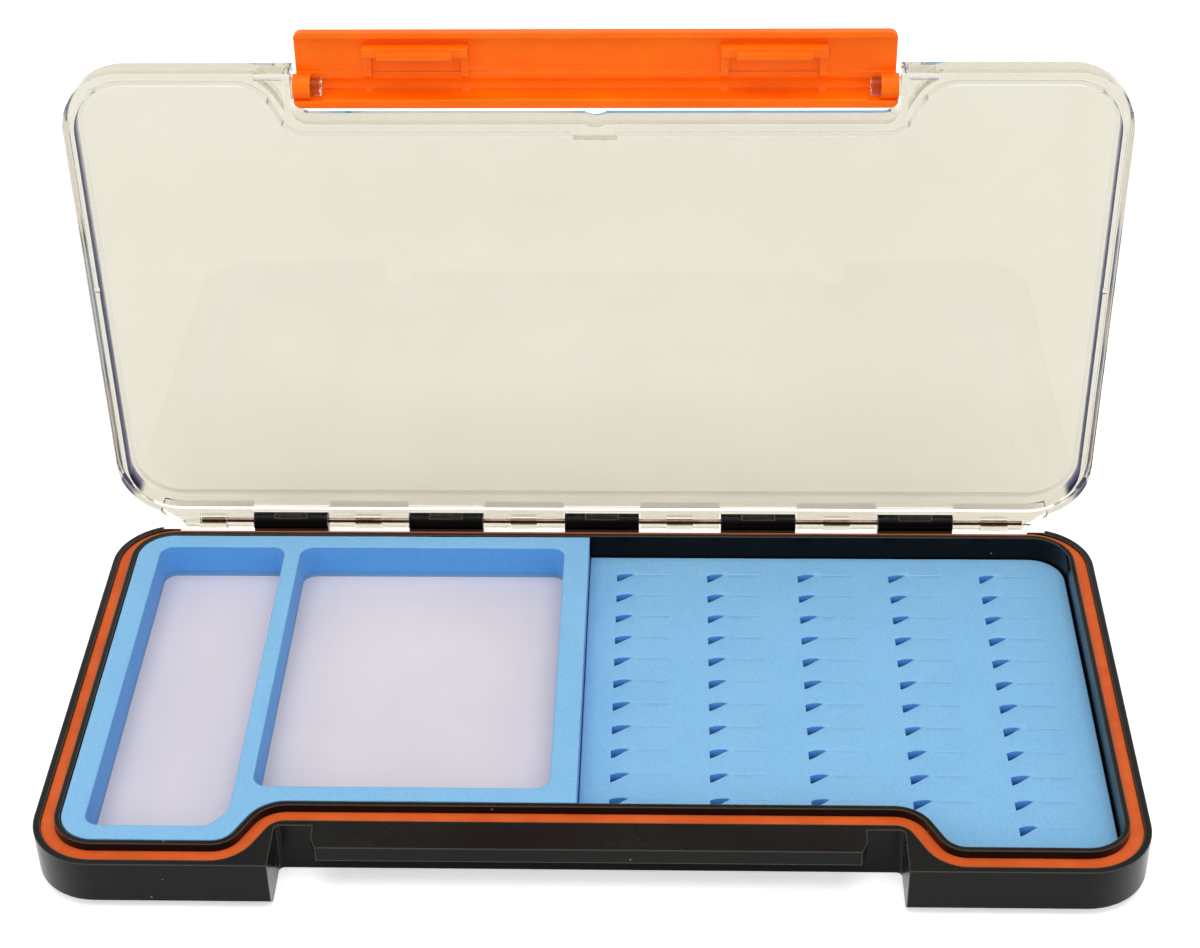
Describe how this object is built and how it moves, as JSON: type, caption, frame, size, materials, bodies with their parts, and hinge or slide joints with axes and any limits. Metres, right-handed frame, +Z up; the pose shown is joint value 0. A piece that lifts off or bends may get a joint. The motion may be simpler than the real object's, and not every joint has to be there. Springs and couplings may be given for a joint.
{
  "type": "fly box",
  "caption": "Slim waterproof fly box with a clear hinged lid, a swing latch, a gasket and foam inserts for flies.",
  "frame": {"origin": "centre of the flat underside of the tray", "axes": "+X to the right as seen from the latch side, +Y from the latch to the hinge, +Z up"},
  "size_m": [0.19, 0.1028, 0.113],
  "materials": {
    "black_plastic": "satin moulded black plastic",
    "orange_rubber": "smooth orange silicone rubber",
    "steel": "drawn steel wire",
    "adhesive_film": "thin double-sided adhesive film",
    "magnet_rubber": "flexible magnetic sheet with a pale matt face",
    "blue_foam": "fine closed-cell foam, matt",
    "clear_plastic": "clear moulded plastic",
    "orange_plastic": "glossy moulded orange plastic"
  },
  "bodies": {
    "base": {"base_shell": "black_plastic", "seal_ring": "orange_rubber", "hinge_pin": "steel", "underlay_adhesive": "adhesive_film", "underlay_foam": "blue_foam", "magnet_adhesive": "adhesive_film", "magnet_sheet": "magnet_rubber", "compartment_foam_adhesive": "adhesive_film", "compartment_foam": "blue_foam", "slit_foam_adhesive": "adhesive_film", "slit_foam": "blue_foam"},
    "lid": {"lid_shell": "clear_plastic"},
    "latch": {"latch_bar": "orange_plastic"}
  },
  "joints": [
    {"name": "lid_hinge", "type": "hinge", "parent": "base", "child": "lid", "pos_m": [0, 0.049, 0.0103], "axis": [-1, 0, 0], "range_deg": [-90.6, 89.4]},
    {"name": "latch_pivot", "type": "hinge", "parent": "lid", "child": "latch", "pos_m": [0, 0.05217, 0.10317], "axis": [-1, 0, 0], "range_deg": [-90, 60]}
  ]
}
